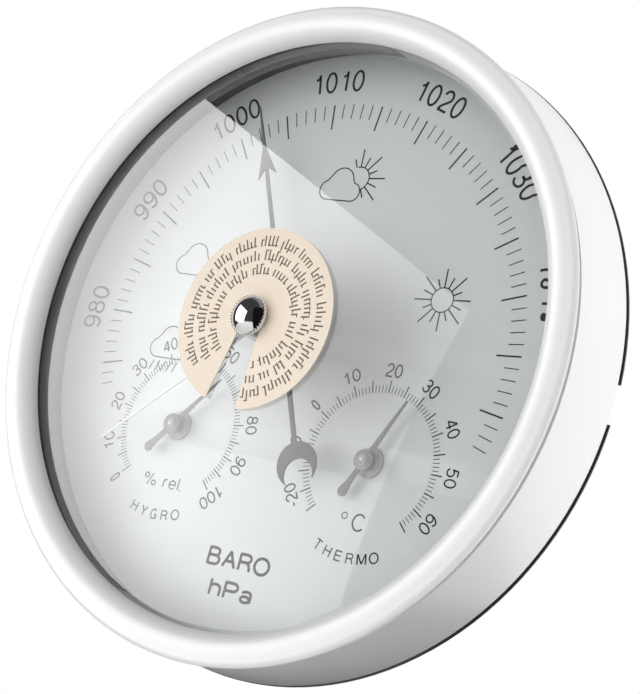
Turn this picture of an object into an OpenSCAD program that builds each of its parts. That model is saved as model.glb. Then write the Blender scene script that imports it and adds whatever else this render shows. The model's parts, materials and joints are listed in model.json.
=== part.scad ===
// Wall barometer: a round dial instrument with a chain-type aneroid movement, a bimetal
// thermometer and a coil hygrometer. Every piece is drawn on the bench, with the dial facing up
// (+z of the bench), x to the right and y towards the top of the dial, and face_on() then stands
// it up: the bench's +z becomes -Y and the back cover's flat back lies in the plane Y = 0.

/* [Case] */
// Largest radius, at the rim of the back cover
case_r = 66; // [65.9:0.05:66.4]
// Radius of the side wall where it meets the bezel
band_front_r = 64.1; // [63.9:0.1:64.2]
// Height of the dial's face above the wall
dial_z = 18; // [18:0.5:22]
// Thickness of the side wall
band_wall = 1.3; // [1.1:0.1:1.4]
// Radius of the opening in the bezel
bezel_inner_r = 58.7; // [58.6:0.05:58.8]
// Radius of the raised flat back
back_r = 52; // [51:0.5:53]
// Thickness of the back cover
cover_wall = 1.4; // [1.2:0.1:1.5]

/* [Glass] */
// Thickness of the domed glass
glass_wall = 2; // [1.8:0.1:2.1]
// Radius of the sphere that the glass is cut from
glass_sphere_r = 290; // [285:1:300]
// Height of the glass's crown above the dial
glass_rise = 16; // [15.9:0.1:16.2]
// Radius of the card disc that hangs under the knob
tag_r = 17.8; // [16:0.1:18]
// Radius of the setting knob
knob_r = 4.1; // [3.8:0.1:4.6]

/* [Hands] */
// Length of the barometer pointer from its axis
pointer_len = 50.2; // [46:0.1:52]
// Turn of the barometer pointer from the top of the dial, clockwise, degrees
pointer_turn = -24.8; // [-108:0.1:108]
// Height of the barometer pointer above the dial
pointer_rise = 5.3; // [5:0.1:5.6]
// Length of the setting hand from its axis
set_len = 44.5; // [38:0.5:46]
// Turn of the setting hand, degrees
set_turn = -127.5; // [-180:0.5:180]
// Turn of the thermometer hand, degrees
thermo_turn = 25.5; // [-135:0.5:135]
// Turn of the hygrometer hand, degrees
hygro_turn = 40.5; // [-135:0.5:135]
// Distance of each small dial from the middle, sideways
small_dial_x = 23.4; // [23:0.1:24]
// Distance of each small dial below the middle
small_dial_y = 20.8; // [20.4:0.1:21.2]

/* [Movement] */
// Radius of the aneroid capsule
capsule_r = 15; // [14:0.5:15.5]
// Working radius of the chain drum
drum_r = 1.1; // [1.1:0.05:1.2]
// Distance of the rocking shaft from the pointer's axis
shaft_x = 22; // [21.8:0.1:22.2]

/* [Hanger] */
// Radius of the keyhole's round entry
key_r = 4; // [3.5:0.1:4.2]
// Half width of the keyhole's slot
key_slot_r = 2; // [1.8:0.1:2.1]
// Height of the keyhole's entry above the middle
key_y = 34; // [33:0.5:35]

/* [Hidden] */
$fn = 96;

// Case heights
seam_z = dial_z - 6.1;
rim_z = dial_z - 7.4;
band_top_z = dial_z + 11.1;
groove_z = dial_z + 11.4;
seam_r = case_r - 0.2;
crown_z = dial_z + glass_rise;
glass_edge_r = 59.9;
dial_sheet = 0.6;
dial_r = 63.4;
ledge_z = dial_z - dial_sheet - 1.2;
glass_centre_z = crown_z - glass_sphere_r;
glass_inner_r = glass_sphere_r - glass_wall;
bead_corner_at = band_front_r;
bead_roll_r = 3.4;
crown_under_z = crown_z - glass_wall;

// Fixings round the back cover
cover_screw_r = 62;
cover_screw_turns = [30, 150, 270];
cover_hole_r = 1.25;

// Heights in the movement, from the wall
base_z = 3;
base_top_z = 4;
spring_z = 9.4;
spring_sheet = 0.5;
cock_z = 11.6;
chain_z = 12.9;
hairspring_z = 13.8;
bridge_z = 14.8;
bridge_sheet = 0.8;
pillar_at = [[-12, 17], [12, 17], [0, -19]];
base_screw_at = [[-27, 12], [27, 12], [0, -27]];
post_x = -21;
shaft_z = 6.4;
pointer_z = dial_z + pointer_rise;
pointer_sheet = 0.35;
arbor_r = 0.6;
pivot_r = 0.4;
run_gap = 0.05;

// Skin of the capsule
skin_z = 6.2;
skin_sheet = 0.12;
skin_wave = 0.4;
skin_waves = 10;

// Pointer's counterweight, links of the chain and the window behind the keyhole
pointer_tail_r = 26.85;
chain_pitch = 1.7;
window_w = 22;
window_low = key_y - 7;
window_high = key_y + 11;

// Setting gear under the glass
spindle_r = 1.2;
bush_r = 2;
set_hub_z = crown_under_z - 1.9;
set_slope = 5.9;
knob_top_z = crown_z + 4.15;
knob_dome_r = 4.95;

// Cap on each small hand
small_cap_r = 2;

// ---- helpers ----

// Stands the bench up: the dial then faces -Y
module face_on() rotate([90, 0, 0]) children();

// Points of an arc, from one angle to another
function arc(cx, cy, r, from, to, steps) =
    [for (i = [0:steps]) let (a = from + (to - from) * i / steps)
        [cx + r * cos(a), cy + r * sin(a)]];

// A disc or a ring between two heights
module disc(r, low, high) translate([0, 0, low]) cylinder(r = r, h = high - low);
module ring(outer, inner, low, high) translate([0, 0, low]) linear_extrude(high - low)
    difference() { circle(outer); circle(inner); }

// Children at each of a list of places
module at_each(places) for (p = places) translate([p[0], p[1], 0]) children();

// Turns clockwise from the top of the dial
module turned(degrees) rotate([0, 0, -degrees]) children();

// A flat coil of strip drawn as half turns about two centres
module coil(inner, pitch, halves, strip, low, high)
    for (i = [0:halves - 1])
        translate([i % 2 == 0 ? 0 : pitch / 2, 0, low])
            rotate([0, 0, i % 2 == 0 ? 0 : 180])
                rotate_extrude(angle = 180)
                    translate([inner + i * pitch / 2, 0]) square([strip, high - low]);

// A slotted cheese-head screw that points along +z from its head
module screw(head_r, head_h, shank_r, shank_len, slot_w = 0.5)
    difference() {
        union() {
            cylinder(r = head_r, h = head_h, $fn = 48);
            translate([0, 0, head_h]) cylinder(r = shank_r, h = shank_len, $fn = 32);
        }
        translate([-head_r, -slot_w / 2, -1]) cube([2 * head_r, slot_w, 1 + head_h / 2]);
    }

// ---- case ----

module case_band() color("gainsboro") face_on() difference() {
    union() {
        rotate_extrude($fn = 180) union() {
            polygon([[seam_r - band_wall, seam_z + 0.05], [seam_r, seam_z + 0.05],
                [band_front_r, band_top_z], [61.4, band_top_z],
                [61.4, band_top_z - 1.1], [band_front_r - band_wall, band_top_z - 1.1]]);
            polygon([[60.6, ledge_z], [seam_r - 0.9, ledge_z],
                [seam_r - 1, ledge_z + 1.15], [60.6, ledge_z + 1.15]]);
        }
        for (t = cover_screw_turns) turned(t)
            translate([0, cover_screw_r, seam_z + 0.05])
                cylinder(r = 2.2, h = ledge_z + 0.5 - seam_z);
    }
    for (t = cover_screw_turns) turned(t)
        translate([0, cover_screw_r, seam_z - 1]) cylinder(r = cover_hole_r, h = 4.6);
}

// A rounded bead, with a skirt that snaps in under the band's front flange
module front_bezel() color("whitesmoke") face_on() rotate_extrude($fn = 180)
    translate([0, groove_z]) polygon(concat(
        [[61.2, -4.4], [61.2, -2.7], [61.7, -2.2], [61.2, -1.5], [61.2, -0.15], [63.9, -0.15]],
        arc(bead_corner_at, 0.9, 1.1, -55, 78, 9),
        arc(bezel_inner_r + bead_roll_r, -4.9, 7.1, 75, 90, 4),
        arc(bezel_inner_r + bead_roll_r, -1.2, bead_roll_r, 98, 180, 10),
        [[60.3, -1.3], [60.3, -4.4]]));

module glass_blank(r) translate([0, 0, glass_centre_z]) sphere(r = r, $fn = 180);

module glass() color("azure", 0.35) face_on() difference() {
    intersection() {
        glass_blank(glass_sphere_r);
        disc(glass_edge_r, dial_z, crown_z + 1);
    }
    glass_blank(glass_inner_r);
    disc(bush_r + 0.05, crown_z - 5, crown_z + 1);
}

module glass_gasket() color("dimgray") face_on()
    ring(60.1, 58.95, dial_z + 7.2, dial_z + 7.65);

module inner_ring() color("darkslategray") face_on() rotate_extrude($fn = 180)
    polygon([[59.9, dial_z + 0.05], [dial_r, dial_z + 0.05], [dial_r, dial_z + 1.1],
        [61.2, dial_z + 1.4], [60.2, dial_z + 3], [60.1, dial_z + 7.15],
        [58.95, dial_z + 7.15]]);

module dial_plate() color("silver") face_on() difference() {
    disc(dial_r, dial_z - dial_sheet, dial_z);
    disc(2.5, 0, dial_z + 1);
    for (side = [-1, 1]) translate([side * small_dial_x, -small_dial_y, 0])
        disc(2.95, 0, dial_z + 1);
}

// Outline of the keyhole: a round entry with a narrower slot above it
module keyhole() {
    circle(key_r);
    translate([-key_slot_r, 0]) square([2 * key_slot_r, 8]);
    translate([0, 8]) circle(key_slot_r);
}

module window() translate([-window_w / 2, window_low]) square([window_w, window_high - window_low]);

module rear_cover() color("black") face_on() difference() {
    union() {
        rotate_extrude($fn = 180)
            polygon([[0, 0], [back_r - 0.6, 0], [back_r, 0.6], [back_r + 3.4, rim_z - 1],
                [back_r + 5, rim_z], [case_r - 0.35, rim_z], [case_r, rim_z + 0.3],
                [case_r, rim_z + 0.6], [case_r - 0.2, rim_z + 0.78],
                [case_r - 0.8, rim_z + 0.8], [case_r - 0.8, seam_z],
                [back_r + 3.8, seam_z], [back_r - 2.2, cover_wall], [0, cover_wall]]);
        // bosses that carry the movement's base
        at_each(base_screw_at) disc(3.6, 1, base_z);
        // pegs that stiffen the seat of the hanger
        for (x = [-13, 13]) translate([x, key_y + 3, 0]) disc(1.9, 1, cover_wall);
    }
    linear_extrude(height = 4, center = true) window();
    at_each(base_screw_at) {
        disc(2.6, -1, 1.2);
        disc(1.25, 0, base_z + 1);
    }
    for (t = cover_screw_turns) turned(t) translate([0, cover_screw_r, 0])
        disc(cover_hole_r, 0, seam_z + 1);
    translate([post_x, 0, 0]) disc(2.7, -1, 2);
    for (x = [-13, 13]) translate([x, key_y + 3, 0]) disc(1.05, -1, 2);
    // vents for the air and its damp to reach the movement
    for (i = [-3:3]) translate([i * 6 - 1, -46 + abs(i) * 1.2, -1]) cube([2, 12, 4]);
    // gap in the rim for the blade that opens the case
    translate([case_r - 1.3, -5.2, rim_z - 1]) cube([3, 7.4, 4]);
}

module cover_screws() color("silver") face_on()
    for (t = cover_screw_turns) turned(t)
        translate([0, cover_screw_r, rim_z - 1.25]) screw(2, 1.2, 1.15, 4.2);

module hanger_plate() color("silver") face_on() translate([0, 0, cover_wall + 0.02])
    linear_extrude(1) difference() {
        translate([-15, window_low - 2]) square([30, window_high - window_low + 3.5]);
        translate([0, key_y]) keyhole();
        for (x = [-13, 13]) translate([x, key_y + 3]) circle(1.05);
    }

module hanger_rivets() color("silver") face_on()
    for (x = [-13, 13]) translate([x, key_y + 3, 0]) {
        disc(1, 0.3, 3.2);
        disc(1.8, cover_wall + 1.04, 3.2);
    }

// ---- setting hand and its gear ----

// A split card disc with a tapering gap that lets it be pulled off the knob's stem
module instruction_tag() color("linen") face_on()
    translate([0, 0, crown_z + 0.12]) linear_extrude(0.3) difference() {
        circle(tag_r);
        circle(2.4);
        polygon([[-2.2, 0.6], [2.2, -0.6], [1.3, -tag_r - 1], [-6.4, -tag_r - 1]]);
    }

module knob_washer() color("silver") face_on()
    ring(2.9, spindle_r + run_gap, crown_z + 0.46, crown_z + 0.76);

module glass_bush() color("silver") face_on() difference() {
    union() {
        disc(bush_r, crown_under_z - 0.1, crown_z + 0.08);
        disc(3.2, crown_under_z - 0.6, crown_under_z - 0.02);
    }
    disc(spindle_r + run_gap, 0, crown_z + 3);
}

// A low ribbed rim under a dome
module set_knob() color("silver") face_on() difference() {
    union() {
        rotate_extrude()
            polygon(concat([[0, crown_z + 0.8], [3, crown_z + 0.8], [3, crown_z + 1.3],
                [knob_r - 0.45, crown_z + 1.5], [knob_r - 0.3, crown_z + 2.5]],
                arc(0, knob_top_z - knob_dome_r, knob_dome_r, 42, 90, 8)));
        for (i = [0:35]) rotate([0, 0, i * 10])
            translate([knob_r - 0.35, 0, crown_z + 1.5])
                cylinder(r = 0.3, h = 1, $fn = 16);
    }
    disc(spindle_r + 0.01, 0, crown_z + 3);
}

module set_spindle() color("goldenrod") face_on()
    disc(spindle_r, set_hub_z - 0.4, crown_z + 2.95);

module spring_washer() color("silver") face_on()
    ring(2.6, spindle_r + 0.01, set_hub_z + 1.02, set_hub_z + 1.28);

// A hub, and a needle that slopes down towards the pointer so that it clears the domed glass
module set_hand() color("silver") face_on() turned(set_turn) difference() {
    union() {
        disc(2.4, set_hub_z, set_hub_z + 1);
        translate([-0.75, -9.5, set_hub_z]) cube([1.5, 9.5, 0.4]);
        translate([0, 0, set_hub_z + 0.45]) rotate([-set_slope, 0, 0])
            linear_extrude(0.4)
                polygon([[-0.7, 1], [0.7, 1], [0.32, set_len], [-0.32, set_len]]);
    }
    disc(spindle_r + 0.01, 0, crown_z);
}

// ---- barometer pointer ----

module pointer() color("gray") face_on() turned(pointer_turn)
    translate([0, 0, pointer_z]) linear_extrude(pointer_sheet) difference() {
        union() {
            // stem, arrowhead and needle
            polygon([[-0.75, -22.8], [0.75, -22.8], [0.85, 0], [0.6, 36], [2.25, 34.1],
                [0.42, 40.9], [0.16, pointer_len], [-0.16, pointer_len],
                [-0.42, 40.9], [-2.25, 34.1], [-0.6, 36], [-0.85, 0]]);
            circle(2.6);
            // crescent counterweight, open outwards
            difference() {
                translate([0, -pointer_tail_r]) circle(4.45);
                translate([0, -29]) circle(3.2);
            }
        }
        circle(arbor_r + 0.01);
    }

module pointer_hub() color("gray") face_on() difference() {
    rotate_extrude() polygon(concat([[0, pointer_z - 1.6], [1.5, pointer_z - 1.6],
        [1.5, pointer_z - 0.02], [0, pointer_z - 0.02]]));
    disc(arbor_r + 0.01, 0, crown_z);
}

module pointer_arbor() color("silver") face_on() {
    disc(pivot_r, cock_z - 0.1, chain_z + 0.6);
    disc(arbor_r, chain_z + 0.58, pointer_z + 1.1);
}

// The grooved drum that the chain winds on
module chain_drum() color("goldenrod") face_on() difference() {
    union() {
        disc(1.6, chain_z - 0.55, chain_z - 0.35);
        disc(drum_r - 0.5, chain_z - 0.4, chain_z + 0.4);
        disc(1.6, chain_z + 0.35, chain_z + 0.55);
    }
    disc(pivot_r + 0.005, chain_z - 1, chain_z + 1);
}

module hairspring_collet() color("goldenrod") face_on()
    ring(1.4, arbor_r + 0.005, hairspring_z - 0.2, hairspring_z + 0.5);

// ---- aneroid movement ----

module movement_base() color("silver") face_on() difference() {
    union() {
        disc(22, base_z + 0.02, base_top_z);
        at_each(base_screw_at) disc(4, base_z + 0.02, base_top_z);
        translate([-27, 8, base_z + 0.02]) cube([54, 8, base_top_z - base_z - 0.02]);
        translate([-4, -27, base_z + 0.02]) cube([8, 12, base_top_z - base_z - 0.02]);
        translate([-27, -10, base_z + 0.02]) cube([54, 20, base_top_z - base_z - 0.02]);
    }
    at_each(base_screw_at) disc(1.15, 0, base_top_z + 1);
    at_each(pillar_at) disc(1.05, 0, base_top_z + 1);
    translate([post_x, 0, 0]) disc(1.3 + run_gap, 0, base_top_z + 1);
}

module movement_screws() color("silver") face_on()
    at_each(base_screw_at) translate([0, 0, 0.1]) screw(2.3, 1.08, 1.1, 3.6);

module movement_pillars() color("goldenrod") face_on() at_each(pillar_at) {
    disc(1, base_z + 0.1, base_top_z + 0.5);
    difference() {
        disc(2, base_top_z + 0.02, bridge_z - 0.02);
        disc(0.95, bridge_z - 4, bridge_z + 1);
    }
}

module plate_arm(from, to, width)
    translate(from) rotate([0, 0, atan2(to[1] - from[1], to[0] - from[0])])
        translate([0, -width / 2]) square([norm(to - from), width]);

module movement_bridge() color("goldenrod") face_on()
    translate([0, 0, bridge_z]) linear_extrude(bridge_sheet) difference() {
        union() {
            circle(7);
            for (p = pillar_at) {
                plate_arm([0, 0], p, 5);
                translate(p) circle(3.4);
            }
        }
        circle(arbor_r + run_gap);
        for (p = pillar_at) translate(p) circle(1);
    }

module bridge_screws() color("silver") face_on() at_each(pillar_at)
    translate([0, 0, bridge_z + bridge_sheet + 0.92]) mirror([0, 0, 1]) screw(1.8, 0.9, 0.9, 3.4);

// Arm on one pillar that carries the arbor's lower pivot
module pivot_cock() color("goldenrod") face_on()
    translate([0, 0, cock_z]) linear_extrude(0.6) difference() {
        union() {
            plate_arm([0, 0], pillar_at[0], 4);
            circle(2.4);
            translate(pillar_at[0]) circle(3.4);
        }
        circle(pivot_r + run_gap);
        translate(pillar_at[0]) circle(2.02);
    }

module hairspring() color("steelblue") face_on()
    coil(1.8, 0.9, 9, 0.25, hairspring_z, hairspring_z + 0.5);

module hairspring_stud() color("goldenrod") face_on()
    translate([-6.57, -0.4, hairspring_z]) cube([0.9, 0.8, bridge_z - hairspring_z - 0.02]);

// Ridges that make a disc of the capsule springy
module ridges(low, high, from, count)
    for (i = [0:count - 1]) ring(from + i * 2.6 + 1, from + i * 2.6, low, high);

module capsule_base() color("silver") face_on() {
    disc(capsule_r - 1, base_top_z + 0.02, base_top_z + 0.8);
    ring(capsule_r, capsule_r - 1.4, base_top_z + 0.02, base_top_z + 3);
    ridges(base_top_z + 0.7, base_top_z + 1.1, 2.6, 4);
}

// One skin's waves: radius and height by turns, from the middle outwards
function waves(lift) = [for (i = [0:skin_waves])
    [2 + i * (capsule_r - 3.7) / skin_waves, skin_z + lift + (i % 2) * skin_wave]];

// A thin waved skin, with a slim pin at its middle that the leaf spring holds by a button
module capsule_top() color("silver") face_on() {
    rotate_extrude() polygon(concat([[0, skin_z]], waves(0),
        [for (i = [skin_waves:-1:0]) waves(skin_sheet)[i]], [[0, skin_z + skin_sheet]]));
    disc(1.9, skin_z + skin_sheet / 2, skin_z + 0.6);
    disc(1, skin_z + 0.5, spring_z + spring_sheet + 0.5);
    disc(1.5, skin_z + 0.5, spring_z - 0.35);
    disc(1.9, spring_z + spring_sheet + 0.3, spring_z + spring_sheet + 0.6);
}

module spring_post() color("goldenrod") face_on() difference() {
    translate([post_x - 3, -5, base_top_z + 0.02])
        cube([6, 10, spring_z - 0.3 - base_top_z - 0.02]);
    translate([post_x, 0, 0]) disc(1.35, 0, spring_z - 1.5);
    for (y = [-3.6, 3.6]) translate([post_x, y, 0]) disc(0.7, spring_z - 3, spring_z + 1);
}

module spring_clamp() color("goldenrod") face_on() difference() {
    translate([post_x - 3, -5, spring_z + spring_sheet + 0.3]) cube([6, 10, 0.9]);
    for (y = [-3.6, 3.6]) translate([post_x, y, 0]) disc(0.7, spring_z, spring_z + 3);
}

module clamp_screws() color("silver") face_on()
    for (y = [-3.6, 3.6]) translate([post_x, y, spring_z + spring_sheet + 2.12])
        mirror([0, 0, 1]) screw(1.2, 0.9, 0.6, 3.6, 0.35);

// Leaf that holds the capsule open; it swings by a hair about its clamped end
module main_spring() color("steelblue") face_on()
    translate([0, 0, spring_z]) linear_extrude(spring_sheet) difference() {
        polygon([[post_x - 2.6, -4.6], [post_x + 4, -4.6], [4, -3.4], [19.5, -2.2],
            [19.5, 2.2], [4, 3.4], [post_x + 4, 4.6], [post_x - 2.6, 4.6]]);
        circle(1.5);
        for (y = [-3.6, 3.6]) translate([post_x, y]) circle(0.95);
    }

module shaft_bracket() color("goldenrod") face_on() difference() {
    translate([shaft_x - 1.8, 0, 0]) {
        translate([0, -9.6, base_top_z + 0.02]) cube([3.6, 19.2, 0.8]);
        for (y = [-9.6, 8.6]) translate([0, y, base_top_z + 0.5]) cube([3.6, 1, 4]);
    }
    translate([shaft_x, 0, shaft_z]) rotate([90, 0, 0])
        cylinder(r = 0.7 + run_gap, h = 30, center = true);
}

// Shaft with a short arm under the leaf spring and an upright arm that holds the chain
module rocking_shaft() color("silver") face_on() translate([shaft_x, 0, shaft_z]) {
    rotate([90, 0, 0]) cylinder(r = 0.7, h = 19, center = true);
    rotate([90, 0, 0]) cylinder(r = 1.1, h = 5, center = true);
    translate([-0.5, -drum_r - 0.5, 0]) cube([1, 1, chain_z - shaft_z + 0.6]);
    rotate([0, -140, 0]) translate([0, 0.2, -0.3]) cube([3.7, 1.8, 0.6]);
}

// The chain's straight run: flat links set crosswise in turn
module chain() color("silver") face_on()
    translate([1.9, -drum_r, chain_z]) for (i = [0:10])
        translate([i * chain_pitch, 0, 0])
            if (i % 2 == 0) translate([0, -0.1, -0.2]) cube([chain_pitch + 0.2, 0.2, 0.4]);
            else translate([0, -0.2, -0.1]) cube([chain_pitch + 0.2, 0.4, 0.2]);

module adjusting_screw() color("goldenrod") face_on()
    translate([post_x, 0, 1.6]) screw(2.2, 1.2, 1.3, 4.6, 0.6);

// ---- thermometer and hygrometer ----

module small_dial(side) translate([side * small_dial_x, -small_dial_y, 0]) children();

module small_hand(turn) turned(turn) translate([0, 0, dial_z + 1.9])
    linear_extrude(0.3) difference() {
        union() {
            circle(1.2);
            polygon([[-0.62, -5.6], [-1.05, -7.3], [0, -8.1], [1.05, -7.3], [0.62, -5.6],
                [0.6, 0], [0.2, 13.6], [-0.2, 13.6], [-0.6, 0]]);
        }
        circle(0.51);
    }

module small_cap() difference() {
    rotate_extrude($fn = 64) polygon(concat([[0, dial_z + 2.22], [small_cap_r, dial_z + 2.22]],
        [for (i = [0:6]) [small_cap_r * cos(i * 15), dial_z + 2.5 + 0.9 * sin(i * 15)]]));
    disc(0.51, 0, dial_z + 2.8);
}

module small_arbor() {
    disc(0.5, 9, dial_z + 2.75);
    disc(1.1, 9.4, 13.6);
    disc(0.9, dial_z + 1.4, dial_z + 1.88);
}

module small_bush() difference() {
    union() {
        disc(2.9, dial_z - 1, dial_z + 0.6);
        disc(2, dial_z + 0.5, dial_z + 1);
        disc(4.2, dial_z - 1.7, dial_z - dial_sheet - 0.02);
    }
    disc(0.5 + run_gap, 0, dial_z + 3);
}

// Bracket behind the dial, with a post for the outer end of the coil
module small_frame(side) difference() {
    union() {
        disc(4.2, dial_z - 2.7, dial_z - 1.72);
        mirror([side > 0 ? 0 : 1, 0, 0]) {
            translate([0, -1.5, dial_z - 2.7]) cube([11.2, 3, 0.98]);
            translate([9.95, -1.5, 9]) cube([1.25, 3, dial_z - 2.7 - 9 + 0.5]);
        }
    }
    disc(1.4, 0, dial_z);
}

module small_coil(side) mirror([side > 0 ? 0 : 1, 0, 0]) coil(1.5, 1.6, 10, 0.4, 9.6, 13.4);

module thermo_hand() color("gray") face_on() small_dial(1) small_hand(thermo_turn);
module thermo_cap() color("silver") face_on() small_dial(1) small_cap();
module thermo_arbor() color("silver") face_on() small_dial(1) small_arbor();
module thermo_bush() color("silver") face_on() small_dial(1) small_bush();
module thermo_frame() color("silver") face_on() small_dial(1) small_frame(1);
module thermo_coil() color("peru") face_on() small_dial(1) small_coil(1);
module hygro_hand() color("gray") face_on() small_dial(-1) small_hand(hygro_turn);
module hygro_cap() color("silver") face_on() small_dial(-1) small_cap();
module hygro_arbor() color("silver") face_on() small_dial(-1) small_arbor();
module hygro_bush() color("silver") face_on() small_dial(-1) small_bush();
module hygro_frame() color("silver") face_on() small_dial(-1) small_frame(-1);
module hygro_coil() color("wheat") face_on() small_dial(-1) small_coil(-1);

case_band();
front_bezel();
glass();
glass_gasket();
inner_ring();
dial_plate();
rear_cover();
cover_screws();
hanger_plate();
hanger_rivets();
instruction_tag();
glass_bush();
set_knob();
knob_washer();
set_spindle();
spring_washer();
set_hand();
pointer();
pointer_hub();
pointer_arbor();
chain_drum();
hairspring_collet();
movement_base();
movement_screws();
movement_pillars();
movement_bridge();
bridge_screws();
pivot_cock();
hairspring();
hairspring_stud();
capsule_base();
capsule_top();
spring_post();
spring_clamp();
clamp_screws();
main_spring();
shaft_bracket();
rocking_shaft();
chain();
adjusting_screw();
thermo_hand();
thermo_cap();
thermo_arbor();
thermo_bush();
thermo_frame();
thermo_coil();
hygro_hand();
hygro_cap();
hygro_arbor();
hygro_bush();
hygro_frame();
hygro_coil();
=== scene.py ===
"""Looks of a round wall barometer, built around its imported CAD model.

Most pieces are drawn in dial coordinates, in millimetres: x to the reader's right, y towards the
top of the dial and z out of the dial's face, towards the reader. to_row() turns a point of those
into the row frame, in metres, where the dial faces -Y.
"""

import json
import math
import random

import bmesh
import bpy
from mathutils import Matrix, Vector

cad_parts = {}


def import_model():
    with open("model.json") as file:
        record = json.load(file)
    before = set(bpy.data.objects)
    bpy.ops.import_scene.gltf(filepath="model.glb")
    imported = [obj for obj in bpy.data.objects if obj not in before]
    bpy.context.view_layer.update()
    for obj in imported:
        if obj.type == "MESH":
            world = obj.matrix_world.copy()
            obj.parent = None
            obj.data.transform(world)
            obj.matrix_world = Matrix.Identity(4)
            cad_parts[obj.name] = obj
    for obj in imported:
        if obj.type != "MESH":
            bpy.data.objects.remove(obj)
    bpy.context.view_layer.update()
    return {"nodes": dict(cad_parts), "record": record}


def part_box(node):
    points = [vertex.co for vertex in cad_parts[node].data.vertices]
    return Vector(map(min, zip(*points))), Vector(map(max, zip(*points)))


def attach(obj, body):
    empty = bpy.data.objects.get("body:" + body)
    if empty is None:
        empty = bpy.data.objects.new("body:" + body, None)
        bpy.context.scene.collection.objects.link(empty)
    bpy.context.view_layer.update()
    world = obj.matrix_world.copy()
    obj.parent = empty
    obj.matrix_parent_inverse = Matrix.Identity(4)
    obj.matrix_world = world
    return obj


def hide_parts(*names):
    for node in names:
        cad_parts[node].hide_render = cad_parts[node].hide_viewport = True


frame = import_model()

MM = 0.001
DIAL_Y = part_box("dial_plate")[0].y
GLASS_RISE = (DIAL_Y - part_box("glass")[0].y) / MM
POINTER_RISE = (DIAL_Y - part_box("pointer")[1].y) / MM

# Radii of the dial's sheet, of the bezel's opening and of the glass
DIAL_R = 63.4
BEZEL_INNER_R = 58.7
GLASS_R = 59.9
# Middle of the thermometer's dial; the hygrometer's has the other sign of x
SMALL_X = 23.4
SMALL_Y = -20.8
# Hands at rest, in degrees clockwise from the top
POINTER_TURN = -24.8
SET_TURN = -127.5
THERMO_TURN = 25.5
HYGRO_TURN = 40.5
# Heights of the print's two sides above the dial
PRINT_LOW = 0.004
PRINT_HIGH = 0.03
# Heights of the card disc's two sides
CARD_LOW = GLASS_RISE + 0.12
CARD_HIGH = CARD_LOW + 0.3
# Strengths of the surroundings, the large lamp's reflection and light, and the front fill
WORLD_DIM = 0.05
WORLD_BRIGHT = 1.75
SOFT_NEAR = 1.4
SOFT_FAR = 5.2
SOFT_DIFFUSE = 0.55
FRONT_FILL = 1.6
# Distance of the lamps in front of the dial, and height of the floor, in metres
LAMP_DISTANCE = 1.5
FLOOR_Z = -0.9

# ------------------------------------------------------------------ geometry helpers


def to_row(x, y, z):
    """A point in dial coordinates, in the row frame."""
    return Vector((x * MM, DIAL_Y - z * MM, y * MM))


def polar(radius, turn):
    """A point at a radius and a clockwise turn in degrees from the top of the dial."""
    a = math.radians(turn)
    return radius * math.sin(a), radius * math.cos(a)


def arc(cx, cy, radius, start, end, steps):
    """Points of an arc, angles in degrees counted anticlockwise from +x."""
    points = []
    for i in range(steps + 1):
        a = math.radians(start + (end - start) * i / steps)
        points.append((cx + radius * math.cos(a), cy + radius * math.sin(a)))
    return points


def circle(cx, cy, radius, steps=128):
    """A closed ring of points."""
    return arc(cx, cy, radius, 0, 360 * (steps - 1) / steps, steps - 1)


def turned(points, turn):
    """Points turned clockwise about the dial's middle."""
    a = math.radians(-turn)
    c, s = math.cos(a), math.sin(a)
    return [(x * c - y * s, x * s + y * c) for x, y in points]


def moved(points, dx, dy):
    """Points shifted in the plane of the dial."""
    return [(x + dx, y + dy) for x, y in points]


def finish_piece(name, mesh, material, body, replaces=(), sharp=35):
    """Links a mesh as a piece that rides on a body and takes a slot."""
    mesh.shade_smooth()
    mesh.set_sharp_from_angle(angle=math.radians(sharp))
    mesh.materials.clear()
    mesh.materials.append(material)
    piece = bpy.data.objects.new(name, mesh)
    bpy.context.scene.collection.objects.link(piece)
    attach(piece, body)
    if replaces:
        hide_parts(*replaces)
    return piece


def mesh_from(name, verts, faces):
    """A clean mesh from points in dial coordinates."""
    mesh = bpy.data.meshes.new(name)
    mesh.from_pydata([to_row(*v) for v in verts], [], faces)
    tidy(mesh)
    return mesh


def tidy(mesh):
    """Joins doubled points and turns every face outwards."""
    bm = bmesh.new()
    bm.from_mesh(mesh)
    bmesh.ops.remove_doubles(bm, verts=bm.verts, dist=1e-7)
    bmesh.ops.recalc_face_normals(bm, faces=bm.faces)
    bm.to_mesh(mesh)
    bm.free()
    mesh.update()


def lathe_data(profile, steps, at=(0, 0), wave=None):
    """Points and faces of a closed (radius, z) outline turned about an axis at a place on the dial."""
    verts, faces, rings = [], [], []
    for k, (radius, z) in enumerate(profile):
        if radius < 1e-6:
            rings.append([len(verts)] * steps)
            verts.append((at[0], at[1], z))
            continue
        rings.append([len(verts) + i for i in range(steps)])
        for i in range(steps):
            a = 2 * math.pi * i / steps
            r = radius if wave is None else radius + wave(k, a)
            verts.append((at[0] + r * math.cos(a), at[1] + r * math.sin(a), z))
    for k in range(len(profile)):
        low, high = rings[k], rings[(k + 1) % len(profile)]
        for i in range(steps):
            j = (i + 1) % steps
            corners = [low[i], low[j], high[j], high[i]]
            face = [c for n, c in enumerate(corners) if c not in corners[:n]]
            if len(face) > 2:
                faces.append(face)
    return verts, faces


def lathe(name, profile, material, body, replaces=(), steps=256, at=(0, 0), wave=None, sharp=35):
    """A turned piece from a closed (radius, z) outline."""
    verts, faces = lathe_data(profile, steps, at, wave)
    mesh = mesh_from(name, verts, faces)
    return finish_piece(name, mesh, material, body, replaces, sharp)


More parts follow.
